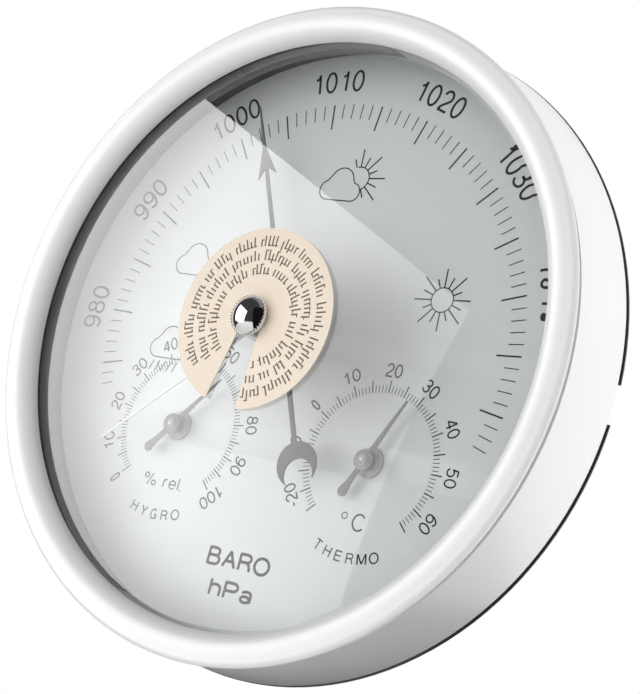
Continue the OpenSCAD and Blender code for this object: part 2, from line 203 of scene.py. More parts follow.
def flat_curve(name, loops, thickness, bevel):
    """A filled flat curve: its first loop is the outline and the others are holes."""
    curve = bpy.data.curves.new(name, "CURVE")
    curve.dimensions = "2D"
    curve.fill_mode = "BOTH"
    curve.extrude = max(thickness / 2 - bevel, 0)
    curve.bevel_depth = bevel
    curve.bevel_resolution = 2
    curve.offset = -bevel
    for loop in loops:
        spline = curve.splines.new("POLY")
        spline.points.add(len(loop) - 1)
        for point, (x, y) in zip(spline.points, loop):
            point.co = (x, y, 0, 1)
        spline.use_cyclic_u = True
    return curve


def curve_mesh(name, curve, place):
    """A curve made into a mesh, each point then put in place."""
    holder = bpy.data.objects.new(name, curve)
    bpy.context.scene.collection.objects.link(holder)
    graph = bpy.context.evaluated_depsgraph_get()
    mesh = bpy.data.meshes.new_from_object(holder.evaluated_get(graph))
    for v in mesh.vertices:
        v.co = to_row(*place(v.co))
    bpy.data.objects.remove(holder)
    bpy.data.curves.remove(curve)
    tidy(mesh)
    return mesh


def plate(name, loops, low, high, material, body, replaces=(), bevel=0.05, place=None):
    """A flat piece with softened edges, between two heights."""
    middle = (low + high) / 2
    where = place or (lambda p: (p.x, p.y, p.z + middle))
    mesh = curve_mesh(name, flat_curve(name, loops, high - low, bevel), where)
    return finish_piece(name, mesh, material, body, replaces)


# ------------------------------------------------------------------ materials


def new_material(name):
    """A material and its nodes, with one Principled shader."""
    material = bpy.data.materials.new(name)
    material.use_nodes = True
    tree = material.node_tree
    return material, tree, tree.nodes["Principled BSDF"]


def node(tree, kind, **values):
    """A new node. A value named in_... sets an input socket, any other one a setting."""
    n = tree.nodes.new(kind)
    for key, value in values.items():
        if key.startswith("in_"):
            n.inputs[key[3:].replace("_", " ")].default_value = value
        else:
            setattr(n, key, value)
    return n


def ramp(tree, source, stops):
    """A colour ramp fed by a node, with (place, colour) stops."""
    r = tree.nodes.new("ShaderNodeValToRGB")
    elements = r.color_ramp.elements
    while len(elements) < len(stops):
        elements.new(0.5)
    for element, (place, colour) in zip(elements, stops):
        element.position = place
        element.color = (*colour, 1)
    tree.links.new(source, r.inputs[0])
    return r.outputs[0]


def metre_coords(tree, stretch=(1, 1, 1)):
    """Object coordinates, in metres, stretched along some axes."""
    coords = tree.nodes.new("ShaderNodeTexCoord")
    mapping = node(tree, "ShaderNodeMapping")
    mapping.inputs["Scale"].default_value = stretch
    tree.links.new(coords.outputs["Object"], mapping.inputs["Vector"])
    return mapping.outputs[0]


def noise(tree, coords, scale, detail=3, roughness=0.5):
    """The value of a noise texture."""
    n = node(tree, "ShaderNodeTexNoise", in_Scale=scale, in_Detail=detail, in_Roughness=roughness)
    tree.links.new(coords, n.inputs["Vector"])
    return n.outputs["Fac"]


def bump(tree, shader, height, strength, distance):
    """Small relief on a shader, from a height."""
    b = node(tree, "ShaderNodeBump", in_Strength=strength, in_Distance=distance)
    tree.links.new(height, b.inputs["Height"])
    tree.links.new(b.outputs[0], shader.inputs["Normal"])


def finish_material(name, dark, light, rough, metallic=0.0, grain=900, large=60, grain_bump=0.15,
                    stretch=(1, 1, 1), coat=0.0, depth=0.00004):
    """A surface whose colour and roughness wander between two values, with a fine grain."""
    material, tree, shader = new_material(name)
    fine_share = 0.35
    coords = metre_coords(tree, stretch)
    fine = noise(tree, coords, grain, 4, 0.6)
    broad = noise(tree, coords, large, 3, 0.5)
    mixed = node(tree, "ShaderNodeMath", operation="MULTIPLY_ADD")
    mixed.inputs[1].default_value = fine_share
    tree.links.new(fine, mixed.inputs[0])
    scaled = node(tree, "ShaderNodeMath", operation="MULTIPLY")
    scaled.inputs[1].default_value = 1 - fine_share
    tree.links.new(broad, scaled.inputs[0])
    tree.links.new(scaled.outputs[0], mixed.inputs[2])
    tree.links.new(ramp(tree, mixed.outputs[0], [(0.3, dark), (0.7, light)]), shader.inputs["Base Color"])
    spread = node(tree, "ShaderNodeMapRange")
    spread.inputs["To Min"].default_value = rough[0]
    spread.inputs["To Max"].default_value = rough[1]
    tree.links.new(mixed.outputs[0], spread.inputs["Value"])
    tree.links.new(spread.outputs[0], shader.inputs["Roughness"])
    shader.inputs["Metallic"].default_value = metallic
    shader.inputs["Coat Weight"].default_value = coat
    shader.inputs["Coat Roughness"].default_value = 0.12
    bump(tree, shader, fine, grain_bump, depth)
    return material


def grey(value, warm=0.0):
    """A neutral colour, or one a little towards red."""
    return (value + warm, value, value - warm)


def glass_material():
    """Clear, very faintly smeared glass that lets lamp light through to the dial."""
    material, tree, shader = new_material("dome_glass")
    shader.inputs["Base Color"].default_value = (0.985, 0.995, 0.99, 1)
    shader.inputs["Transmission Weight"].default_value = 1.0
    shader.inputs["IOR"].default_value = 1.58
    coords = metre_coords(tree)
    smear = noise(tree, coords, 45, 3, 0.6)
    spread = node(tree, "ShaderNodeMapRange")
    spread.inputs["From Min"].default_value = 0.45
    spread.inputs["From Max"].default_value = 0.8
    spread.inputs["To Min"].default_value = 0.0
    spread.inputs["To Max"].default_value = 0.012
    tree.links.new(smear, spread.inputs["Value"])
    tree.links.new(spread.outputs[0], shader.inputs["Roughness"])
    clear = node(tree, "ShaderNodeBsdfTransparent")
    path = node(tree, "ShaderNodeLightPath")
    mix = node(tree, "ShaderNodeMixShader")
    out = tree.nodes["Material Output"]
    tree.links.new(path.outputs["Is Shadow Ray"], mix.inputs[0])
    tree.links.new(shader.outputs[0], mix.inputs[1])
    tree.links.new(clear.outputs[0], mix.inputs[2])
    tree.links.new(mix.outputs[0], out.inputs["Surface"])
    return material


MAT = {
    "case_silver": finish_material("case_silver", grey(0.74, 0.002), grey(0.80, 0.002), (0.32, 0.42),
                                   metallic=0.3, grain=2600, large=30, grain_bump=0.06, coat=0.15),
    "bezel_silver": finish_material("bezel_silver", grey(0.77, 0.002), grey(0.81, 0.002), (0.42, 0.5),
                                    metallic=0.05, grain=2600, large=30, grain_bump=0.05, coat=0.05),
    "gasket_rubber": finish_material("gasket_rubber", grey(0.02), grey(0.04), (0.7, 0.85), grain=1800),
    "ring_black": finish_material("ring_black", grey(0.035), grey(0.06), (0.10, 0.2), grain=1500,
                                  large=40, grain_bump=0.03, coat=0.3),
    "dial_silver": finish_material("dial_silver", (0.750, 0.768, 0.773), (0.805, 0.823, 0.828), (0.42, 0.52),
                                   metallic=0.2, grain=3500, large=18, grain_bump=0.02),
    "cover_black": finish_material("cover_black", grey(0.014), grey(0.035), (0.38, 0.5), grain=1600,
                                   large=35, grain_bump=0.3, depth=0.00006, coat=0.7),
    "plated_steel": finish_material("plated_steel", grey(0.48, 0.01), grey(0.66, 0.01), (0.25, 0.42),
                                    metallic=1.0, grain=1200, stretch=(1, 1, 8)),
    "tag_card": finish_material("tag_card", (0.87, 0.74, 0.60), (0.94, 0.82, 0.69), (0.55, 0.7),
                                grain=1500, large=60, grain_bump=0.3, stretch=(1, 1, 2.5)),
    "knob_chrome": finish_material("knob_chrome", grey(0.78), grey(0.84), (0.03, 0.07), metallic=1.0,
                                   grain=1500, large=60, grain_bump=0.01),
    "turned_brass": finish_material("turned_brass", (0.52, 0.36, 0.14), (0.72, 0.53, 0.25), (0.2, 0.35),
                                    metallic=1.0, grain=1500),
    "hand_grey": finish_material("hand_grey", grey(0.13), grey(0.19), (0.3, 0.42), metallic=0.4,
                                 grain=2500, large=90, grain_bump=0.05),
    "hand_pale": finish_material("hand_pale", grey(0.22), grey(0.30), (0.3, 0.42), metallic=0.3,
                                 grain=2500, large=90, grain_bump=0.05),
    "hand_silver": finish_material("hand_silver", grey(0.88), grey(0.94), (0.25, 0.35), metallic=0.1,
                                   grain=2500, grain_bump=0.04),
    "hub_bright": finish_material("hub_bright", grey(0.36), grey(0.44), (0.2, 0.28), metallic=0.3,
                                  grain=2500, grain_bump=0.03),
    "boss_pale": finish_material("boss_pale", grey(0.5), grey(0.6), (0.3, 0.4), metallic=0.3,
                                 grain=2500, grain_bump=0.03),
    "spring_steel": finish_material("spring_steel", (0.06, 0.09, 0.22), (0.13, 0.18, 0.36), (0.22, 0.34),
                                    metallic=1.0, grain=1800),
    "capsule_metal": finish_material("capsule_metal", (0.55, 0.50, 0.38), (0.70, 0.65, 0.52), (0.22, 0.36),
                                     metallic=1.0, grain=1400),
    "bimetal": finish_material("bimetal", (0.45, 0.33, 0.24), (0.63, 0.49, 0.38), (0.25, 0.4), metallic=1.0,
                               grain=1600),
    "humidity_strip": finish_material("humidity_strip", (0.60, 0.50, 0.34), (0.76, 0.66, 0.48), (0.5, 0.7),
                                      grain=1600),
    "print_grey": finish_material("print_grey", grey(0.008), grey(0.016), (0.55, 0.7), grain=3000,
                                  grain_bump=0.1),
    "card_ink": finish_material("card_ink", (0.07, 0.05, 0.035), (0.13, 0.09, 0.06), (0.5, 0.7), grain=3000),
    "dome_glass": glass_material(),
}

SLOTS = {s["node"]: s["material_slot"] for s in frame["record"]["subparts"]}
for part_name, part in frame["nodes"].items():
    part.data.materials.clear()
    part.data.materials.append(MAT[SLOTS[part_name]])

# ------------------------------------------------------------------ case


def case_band():
    """The slightly conical side wall, with its front flange and the ledge for the dial."""
    seam, front = -6.05, 11.1
    groove_floor, groove_r = 9.6, 62.9
    flange_back, flange_inner_r = 8.9, 61.4
    ledge, ledge_top, ledge_inner_r = -1.8, -0.65, 60.6
    outer = [(65.8, seam), (65.84, seam + 0.25), (64.29, groove_floor - 0.2), (64.1, groove_floor - 0.05),
             (groove_r, groove_floor), (groove_r, front)]
    inner = [(flange_inner_r, front), (flange_inner_r, flange_back), (62.6, flange_back), (63.9, ledge_top),
             (ledge_inner_r, ledge_top), (ledge_inner_r, ledge), (64.1, ledge), (64.5, seam)]
    lathe("case_band_shell", outer + inner, MAT["case_silver"], "case", ["case_band"])


def front_bezel():
    """A rounded bead over the edge of the glass, with a snap-in skirt."""
    groove = 11.4
    skirt_r, skirt_inner_r, skirt_foot = 61.2, 60.3, -4.4
    snap = [(skirt_r, -2.7), (skirt_r + 0.5, -2.2), (skirt_r, -1.5)]
    roll_r = 3.4
    crest_r = BEZEL_INNER_R + roll_r
    profile = [(skirt_r, skirt_foot)] + snap + [(skirt_r, -0.15), (63.9, -0.15)]
    profile += arc(64.1, 0.9, 1.1, -55, 78, 16)
    profile += arc(crest_r, -4.9, 7.1, 77, 90, 8)
    profile += arc(crest_r, -1.2, roll_r, 93, 180, 24)
    profile += [(skirt_inner_r, -1.3), (skirt_inner_r, skirt_foot)]
    profile = [(r, z + groove) for r, z in profile]
    lathe("bezel_bead", profile, MAT["bezel_silver"], "case", ["front_bezel"], sharp=50)


def dome_glass():
    """The domed glass, cut from a thick spherical shell, with a hole for the setting gear."""
    ball, wall, hole, hole_sag, chamfer = 290.0, 2.0, 2.05, 0.007, 0.25
    centre = GLASS_RISE - ball + hole_sag
    steps = 28

    def skin(radius, from_r, to_r):
        rs = [from_r + (to_r - from_r) * i / steps for i in range(steps + 1)]
        return [(r, centre + math.sqrt(radius ** 2 - r ** 2)) for r in rs]

    rim_z = centre + math.sqrt(ball ** 2 - GLASS_R ** 2) - chamfer
    profile = skin(ball, hole, GLASS_R - chamfer) + [(GLASS_R, rim_z)] + skin(ball - wall, GLASS_R, hole)
    lathe("glass_dome", profile, MAT["dome_glass"], "case", ["glass"], sharp=50)


def inner_ring():
    """The dark ring between the glass and the dial, with a fine step at its foot."""
    foot, foot_inner_r, head = 0.05, 59.9, 7.15
    outer = [(foot_inner_r, foot), (DIAL_R, foot), (DIAL_R, 1.1), (61.2, 1.4), (60.2, 3), (60.1, head)]
    inner = [(58.95, head), (59.12, 5.4), (59.2, 5.3), (59.4, 2.7), (59.75, 2.45), (59.88, 2.2)]
    lathe("dial_surround", outer + inner, MAT["ring_black"], "case", ["inner_ring"], sharp=25)


def dial_sheet():
    """The dial's metal sheet with its three holes."""
    thickness, middle_hole, small_hole = 0.6, 2.5, 2.95
    holes = [circle(0, 0, middle_hole)] + [circle(x, SMALL_Y, small_hole) for x in (SMALL_X, -SMALL_X)]
    plate("dial_sheet", [circle(0, 0, DIAL_R, 256)] + holes, -thickness, 0, MAT["dial_silver"], "case",
          ["dial_plate"], bevel=0.03)


# ------------------------------------------------------------------ print on the dial


def oval(cx, cy, rx, ry, start=0, end=360, steps=20):
    """Points of an oval arc; a whole turn is left open by one step."""
    span = end - start
    last = steps if abs(span) < 360 else steps - 1
    turns = [math.radians(start + span * i / steps) for i in range(last + 1)]
    return [(cx + rx * math.cos(a), cy + ry * math.sin(a)) for a in turns]


def open_strokes(*strokes):
    """Strokes with two ends, for a letter."""
    return [(list(points), False) for points in strokes]


def ring_strokes(*rings):
    """Strokes that close, for a letter."""
    return [(points, True) for points in rings]


# Strokes of each letter; a capital is about one unit high
LETTERS = {
    "0": ring_strokes(oval(0.29, 0.5, 0.29, 0.5, steps=28)),
    "1": open_strokes([(0.1, 0.76), (0.24, 0.8), (0.34, 0.88), (0.38, 1.0)], [(0.38, 1.03), (0.38, 0)]),
    "2": open_strokes(oval(0.29, 0.71, 0.27, 0.29, 170, -28) + [(0.38, 0.43), (0.18, 0.27), (0.07, 0.14),
                                                                (0.02, 0.0)], [(-0.02, 0), (0.58, 0)]),
    "3": open_strokes(oval(0.28, 0.755, 0.24, 0.245, 165, -90) + [(0.2, 0.51)],
                      [(0.2, 0.53)] + oval(0.28, 0.265, 0.28, 0.265, 90, -165)),
    "4": open_strokes([(0.45, 0), (0.45, 1)], [(0.43, 1), (0.0, 0.32)], [(-0.03, 0.3), (0.6, 0.3)]),
    "5": open_strokes([(0.54, 1), (0.12, 1)], [(0.13, 1.02), (0.05, 0.48)],
                      oval(0.28, 0.32, 0.29, 0.32, 142, -158)),
    "6": ring_strokes(oval(0.29, 0.31, 0.28, 0.31)) + open_strokes(oval(0.33, 0.48, 0.32, 0.52, 200, 48)),
    "7": open_strokes([(0, 1), (0.58, 1)], [(0.57, 1.0), (0.42, 0.78), (0.28, 0.46), (0.2, 0.0)]),
    "8": ring_strokes(oval(0.29, 0.755, 0.235, 0.245), oval(0.29, 0.265, 0.285, 0.265)),
    "9": ring_strokes(oval(0.29, 0.69, 0.28, 0.31)) + open_strokes(oval(0.25, 0.52, 0.32, 0.52, 20, -132)),
    "-": open_strokes([(0, 0.4), (0.3, 0.4)]),
    ".": open_strokes([(0, -0.04), (0, 0.08)]),
    "%": (ring_strokes(oval(0.16, 0.78, 0.16, 0.2), oval(0.8, 0.22, 0.16, 0.2))
          + open_strokes([(0.68, 1), (0.28, 0)])),
    "A": open_strokes([(0, 0), (0.34, 1)], [(0.32, 1), (0.66, 0)], [(0.12, 0.36), (0.54, 0.36)]),
    "B": open_strokes([(0, -0.04), (0, 1.04)], [(0, 1)] + oval(0.34, 0.77, 0.2, 0.23, 90, -90) + [(0, 0.54)],
                      [(0, 0.54)] + oval(0.36, 0.27, 0.24, 0.27, 90, -90) + [(0, 0)]),
    "C": open_strokes(oval(0.36, 0.5, 0.36, 0.5, 42, 318)),
    "E": open_strokes([(0, -0.04), (0, 1.04)], [(0, 1), (0.54, 1)], [(0, 0.53), (0.48, 0.53)],
                      [(0, 0), (0.56, 0)]),
    "G": open_strokes(oval(0.36, 0.5, 0.36, 0.5, 42, 342), [(0.44, 0.46), (0.74, 0.46)],
                      [(0.72, 0.46), (0.72, 0.0)]),
    "H": open_strokes([(0, 0), (0, 1)], [(0.58, 0), (0.58, 1)], [(0, 0.53), (0.58, 0.53)]),
    "M": open_strokes([(0, 0), (0, 1)], [(0.03, 1), (0.35, 0.05)], [(0.35, 0.05), (0.67, 1)],
                      [(0.7, 0), (0.7, 1)]),
    "O": ring_strokes(oval(0.38, 0.5, 0.38, 0.5, steps=28)),
    "P": open_strokes([(0, 0), (0, 1.04)], [(0, 1)] + oval(0.36, 0.74, 0.22, 0.26, 90, -90) + [(0, 0.48)]),
    "R": open_strokes([(0, 0), (0, 1.04)], [(0, 1)] + oval(0.36, 0.76, 0.22, 0.24, 90, -90) + [(0, 0.52)],
                      [(0.36, 0.52), (0.5, 0.42), (0.56, 0.2), (0.6, 0)]),
    "T": open_strokes([(0, 1), (0.62, 1)], [(0.31, 1), (0.31, 0)]),
    "Y": open_strokes([(0, 1), (0.31, 0.46)], [(0.62, 1), (0.31, 0.46)], [(0.31, 0.48), (0.31, 0)]),
    "a": (ring_strokes(oval(0.2, 0.19, 0.2, 0.19))
          + open_strokes(oval(0.23, 0.5, 0.21, 0.19, 165, 0) + [(0.44, 0.0)])),
    "e": open_strokes(oval(0.25, 0.34, 0.25, 0.34, 0, 318), [(0.0, 0.34), (0.52, 0.34)]),
    "h": open_strokes([(0, 0), (0, 1)], oval(0.23, 0.46, 0.23, 0.24, 180, 0) + [(0.46, 0.0)]),
    "l": open_strokes([(0, 0), (0, 1)]),
    "r": open_strokes([(0, 0), (0, 0.7)], oval(0.24, 0.44, 0.24, 0.25, 180, 85)),
}


class Print:
    """Gathers flat marks into one mesh."""

    def __init__(self):
        self.verts = []
        self.faces = []

    def slab(self, loop, low=PRINT_LOW, high=PRINT_HIGH):
        """A flat mark with the outline loop."""
        n, start = len(loop), len(self.verts)
        self.verts += [(x, y, low) for x, y in loop] + [(x, y, high) for x, y in loop]
        self.faces.append([start + i for i in range(n)][::-1])
        self.faces.append([start + n + i for i in range(n)])
        for i in range(n):
            j = (i + 1) % n
            self.faces.append([start + i, start + j, start + n + j, start + n + i])

    def line(self, a, b, width, **heights):
        """A straight stroke between two points."""
        d = Vector((b[0] - a[0], b[1] - a[1])).normalized() * width / 2
        side = (-d.y, d.x)
        self.slab([(a[0] - side[0], a[1] - side[1]), (b[0] - side[0], b[1] - side[1]),
                   (b[0] + side[0], b[1] + side[1]), (a[0] + side[0], a[1] + side[1])], **heights)

    def stroke(self, points, width, closed=False):
        """A bent stroke along points, with mitred corners, as one band."""
        n = len(points)
        start = len(self.verts)
        for i, (x, y) in enumerate(points):
            before = points[i - 1] if i or closed else points[0]
            after = points[(i + 1) % n] if i < n - 1 or closed else points[-1]
            d = Vector((after[0] - before[0], after[1] - before[1])).normalized() * width / 2
            for z in (PRINT_LOW, PRINT_HIGH):
                self.verts.append((x - d.y, y + d.x, z))
                self.verts.append((x + d.y, y - d.x, z))
        for i in range(n if closed else n - 1):
            a, b = start + 4 * i, start + 4 * ((i + 1) % n)
            for p, q in ((0, 1), (1, 3), (3, 2), (2, 0)):
                self.faces.append([a + p, a + q, b + q, b + p])
        if not closed:
            for a in (start, start + 4 * (n - 1)):
                self.faces.append([a, a + 1, a + 3, a + 2])

    def ticks(self, count, turn_of, inner_of, outer_of, width_of, at=(0, 0)):
        """Scale lines: each index gives its turn, two radii and width."""
        for i in range(count):
            a, b = moved([polar(inner_of(i), turn_of(i)), polar(outer_of(i), turn_of(i))], *at)
            self.line(a, b, width_of(i))

    def text(self, words, height, width, at, turn=0.0, weight=0.4):
        """Words drawn in even strokes, in a box of a given size centred at a place."""
        space, gap, digit_width = 0.45, 0.22, 0.58
        strokes, across = [], 0.0
        for letter in words:
            if letter == " ":
                across += space
                continue
            drawn = LETTERS[letter]
            strokes += [(moved(points, across, 0), closed) for points, closed in drawn]
            edge = digit_width if letter.isdigit() else max(x for points, _ in drawn for x, _ in points)
            across += edge + gap
        xs = [x for points, _ in strokes for x, _ in points]
        ys = [y for points, _ in strokes for _, y in points]
        sx = (width - weight) / max(max(xs) - min(xs), 0.01)
        sy = (height - weight) / (max(ys) - min(ys))
        mx, my = (max(xs) + min(xs)) / 2, (max(ys) + min(ys)) / 2
        for points, closed in strokes:
            placed = [((x - mx) * sx, (y - my) * sy) for x, y in points]
            self.stroke(moved(turned(placed, turn), *at), weight, closed)

    def piece(self, name, material, slot="dial_silver"):
        """The marks as a piece on the case."""
        finish_piece(name, mesh_from(name, self.verts, self.faces), material, "case")


def barometer_scale():
    """973 to 1053 hPa at 2.7 degrees each, with 1013 at the top."""
    marks = Print()
    low, high, top, step = 973, 1053, 1013, 2.7
    outer, short_inner, long_inner = 49.3, 46.2, 44.1
    number_r, number_height, digit_width, digit_pitch = 54.35, 4.7, 2.75, 3.42
    word_weight = 0.58

    def fifth(i):
        return (low + i) % 5 == 0

    marks.ticks(high - low + 1, lambda i: (low + i - top) * step,
                lambda i: long_inner if fifth(i) else short_inner, lambda i: outer,
                lambda i: 0.32 if fifth(i) else 0.19)
    for value in range(980, 1051, 10):
        digits = str(value)
        for k, digit in enumerate(digits):
            turn = (value - top) * step + (k - (len(digits) - 1) / 2) * digit_pitch
            width = 1.45 if digit == "1" else digit_width
            marks.text(digit, number_height, width, polar(number_r, turn), turn, 0.52)
    marks.text("BARO", 3.95, 15.2, (0, -44.15), weight=word_weight)
    marks.text("hPa", 3.7, 10.5, (0, -49.9), weight=word_weight)
    marks.piece("barometer_print", MAT["print_grey"])


def small_scale(at, low, high, top, step, first_number):
    """A round scale of single divisions, longer at every fifth, with a number at every tenth."""
    marks = Print()
    inner, short_outer, long_outer = 13.5, 14.9, 15.9
    number_r, number_height, digit_width, minus_width = 17.9, 2.7, 1.85, 1.1
    marks.ticks(high - low + 1, lambda i: (low + i - top) * step, lambda i: inner,
                lambda i: short_outer if i % 5 else long_outer, lambda i: 0.14 if i % 5 else 0.24, at)
    for value in range(first_number, high + 1, 10):
        turn = (value - top) * step
        digits = str(abs(value))
        width = digit_width * len(digits) + (minus_width if value < 0 else 0) if value else 1.2
        place, = moved([polar(number_r, turn)], *at)
        marks.text(str(value), number_height, width, place, turn, 0.31)
    return marks


def arc_word(marks, word, at, radius, middle, spacing):
    """Capitals set along the foot of a small dial, each with its top towards the dial's middle."""
    height = 2.2
    for k, letter in enumerate(word):
        turn = middle - (k - (len(word) - 1) / 2) * spacing
        place, = moved([polar(radius, turn)], *at)
        width = height * (0.95 if letter in "MO" else 0.75)
        marks.text(letter, height, width, place, turn - 180, 0.28)


def thermometer_scale():
    """-25 to 65 degrees Celsius at 3 degrees of turn each, with 20 at the top."""
    at = (SMALL_X, SMALL_Y)
    marks = small_scale(at, -25, 65, 20, 3, -20)
    marks.stroke(circle(20.9, -31.3, 0.6, 24), 0.2, closed=True)
    marks.text("C", 3.4, 2.7, (24.2, -32.1), weight=0.34)
    arc_word(marks, "THERMO", at, 18.1, 180.9, 8.3)
    marks.piece("thermometer_print", MAT["print_grey"])


def hygrometer_scale():
    """0 to 100 per cent at 2.7 degrees of turn each, with 50 at the top."""
    at = (-SMALL_X, SMALL_Y)
    marks = small_scale(at, 0, 100, 50, 2.7, 0)
    marks.text("% rel.", 2.75, 9.9, (-23.6, -32.3), weight=0.26)
    arc_word(marks, "HYGRO", at, 18.2, 180.6, 8.5)
    marks.piece("hygrometer_print", MAT["print_grey"])


def sun_rays(marks, at, radius, rays, stroke):
    """Rays round a sun, of four lengths by turns."""
    lengths = (6.1, 4.7, 6.3, 4.3)
    for k in rays:
        turn = k * 22.5 - 4
        marks.line(*moved([polar(radius + 0.1, turn), polar(lengths[k % 4], turn)], *at), stroke)


def cloud(marks, at, stroke):
    """Three puffs on a flat base."""
    x, y = at
    outline = arc(x - 3.0, y - 1.4, 2.0, 270, 108, 14)
    outline += arc(x - 0.2, y + 0.6, 2.75, 158, 12, 18)
    outline += arc(x + 2.7, y - 1.5, 1.9, 85, -90, 14)
    marks.stroke(outline, stroke, closed=True)


def symbols():
    """Weather symbols: sun, sun behind a cloud, cloud, and rain."""
    marks = Print()
    thin, thick, sun_r = 0.24, 0.28, 2.4
    sunny = (29.7, 11.7)
    marks.stroke(circle(*sunny, sun_r, 40), thin, closed=True)
    sun_rays(marks, sunny, sun_r, range(16), thick)
    fair = (3.6, 33.9)
    marks.stroke(arc(*fair, sun_r, 110, -68, 20), thin)
    sun_rays(marks, fair, sun_r, list(range(8)) + [15], thick)
    for at in ((0, 32.5), (-31.0, 13.8), (-31.6, -4.2)):
        cloud(marks, at, thin)
    for k in range(5):
        x = -34.6 + 1.5 * k
        marks.line((x, -8.3), (x - 0.8, -10.4), thin)
    marks.piece("weather_symbols", MAT["print_grey"])


# ------------------------------------------------------------------ hands


def barometer_pointer():
    """Needle, arrowhead, stem and crescent counterweight in one sheet."""
    right_side = [(0.13, 50.2), (0.42, 40.4), (2.2, 34.1), (0.4, 35.9), (0.55, -2.2)]
    left_side = [(-x, y) for x, y in reversed(right_side)]
    thickness, neck, horn = 0.35, 0.5, 30.15
    outer_r, outer_at, inner_r, inner_at = 4.45, -26.85, 3.2, -29.0
    outer_end = math.degrees(math.asin((outer_at + horn) / -outer_r))
    inner_end = math.degrees(math.asin((inner_at + horn) / -inner_r))
    stem_turn = math.degrees(math.asin(neck / outer_r))
    right = arc(0, outer_at, outer_r, 90 - stem_turn, outer_end, 28)
    inside = arc(0, inner_at, inner_r, inner_end, 180 - inner_end, 32)
    left = arc(0, outer_at, outer_r, 180 - outer_end, 90 + stem_turn, 28)
    outline = turned(left_side + right_side + right + inside + left, POINTER_TURN)
    plate("pointer_sheet", [outline], POINTER_RISE, POINTER_RISE + thickness, MAT["hand_grey"],
          "barometer_pointer", ["pointer"], bevel=0.06)
    boss = [(0, 0.3), (2.6, 0.3), (2.6, 0.45), (1.5, 0.5)] + arc(0, 0.1, 1.4, 30, 90, 8)
    boss = [(r, z + POINTER_RISE) for r, z in boss]
    lathe("pointer_boss", boss, MAT["hub_bright"], "barometer_pointer", steps=64)


def small_hand(side, turn, name, body, replaces):
    """A tapering hand with a spade tail."""
    low, high, eye_r = 1.9, 2.2, 1.25
    stem = [(-0.6, 0.9), (-0.5, 4.5), (-0.2, 13.6), (0.2, 13.6), (0.5, 4.5), (0.6, 0.9)]
    tail = [(0.55, -2.2), (0.62, -5.0)] + arc(0, -7.0, 1.05, 25, -205, 16) + [(-0.62, -5.0), (-0.55, -2.2)]
    outline = stem + arc(0, 0, eye_r, 60, -60, 10) + tail + arc(0, 0, eye_r, 240, 120, 10)
    outline = moved(turned(outline, turn), side * SMALL_X, SMALL_Y)
    plate(name, [outline], low, high, MAT["hand_pale"], body, replaces, bevel=0.08)


def small_hub(side, name, body, replaces):
    """The stepped cap that holds a small hand, with its arbor's end in pale white as a painted highlight."""
    at = (side * SMALL_X, SMALL_Y)
    profile = [(0.5, 2.22), (1.85, 2.22), (1.98, 2.3), (2.0, 2.6), (1.85, 2.76), (1.4, 2.82), (1.3, 2.9),
               (1.22, 3.04), (1.0, 3.12), (0.74, 3.14), (0.6, 3.06), (0.5, 3.06)]
    lathe(name, profile, MAT["hub_bright"], body, replaces, steps=72, at=at, sharp=50)
    # The arbor's end is a real part; its pale diffuse white is a painted highlight at the cap's middle
    painted_highlight_pin = [(0, 2.4), (0.48, 2.4), (0.48, 3.1)] + arc(0, 2.78, 0.6, 38, 90, 8)
    lathe(name + "_pin", painted_highlight_pin, MAT["hand_silver"], body, steps=48, at=at, sharp=50)


def small_boss(side, name, replaces):
    """The stepped boss of a small movement, standing through the dial."""
    profile = [(0.55, -1.7), (4.2, -1.7), (4.2, -0.62), (2.9, -0.62), (2.9, 0.45), (2.75, 0.6), (2.1, 0.62),
               (2.0, 0.7), (1.95, 0.95), (1.8, 1.0), (0.55, 1.0)]
    lathe(name, profile, MAT["boss_pale"], "case", replaces, steps=96,
          at=(side * SMALL_X, SMALL_Y))


def set_needle():
    """The fine bright needle under the glass, sloping down towards the dial."""
    hub_z, needle_rise = GLASS_RISE - 3.9, 0.65
    slope = math.tan(math.radians(5.9))
    plate("set_hub", [circle(0, 0, 2.4, 64), circle(0, 0, 1.21, 48)], hub_z, hub_z + 1,
          MAT["hand_silver"], "setting_hand", bevel=0.1)
    outline = [(-0.62, 1.2), (-0.45, 6), (-0.17, 44.5), (0.17, 44.5), (0.45, 6), (0.62, 1.2)]
    a = math.radians(SET_TURN)

    def place(p):
        along = p.x * math.sin(a) + p.y * math.cos(a)
        return p.x, p.y, hub_z + needle_rise + p.z - along * slope

    plate("set_needle", [turned(outline, SET_TURN)], -0.2, 0.2, MAT["hand_silver"], "setting_hand",
          ["set_hand"], bevel=0.05, place=place)
    tail = [(-0.75, -9.5), (-0.75, -1.3), (0.75, -1.3), (0.75, -9.5)]
    plate("set_tail", [turned(tail, SET_TURN)], hub_z, hub_z + 0.4, MAT["hand_silver"], "setting_hand",
          bevel=0.05)


def set_knob():
    """Chrome knob: a low serrated rim under a polished dome."""
    base, top, dome_r = GLASS_RISE + 0.8, 3.34, 4.95
    teeth, tooth_depth = 36, 0.22
    neck = [(0, 0), (2.95, 0), (3.0, 0.45)]
    rim = [(3.75, 0.68), (4.0, 0.86), (4.05, 1.1), (4.04, 1.5), (3.95, 1.68), (3.8, 1.76)]
    profile = [(r, z + base) for r, z in neck + rim + arc(0, top - dome_r, dome_r, 42, 90, 20)]

    def wave(k, a):
        """Depth of the grooves between the teeth, which are on the rim only."""
        on_rim = len(neck) <= k < len(neck) + len(rim)
        return -tooth_depth * (0.5 - 0.5 * math.cos(a * teeth)) ** 0.7 if on_rim else 0.0

    lathe("knob_head", profile, MAT["knob_chrome"], "setting_hand", ["set_knob"],
          steps=teeth * 12, wave=wave, sharp=50)


# ------------------------------------------------------------------ card disc


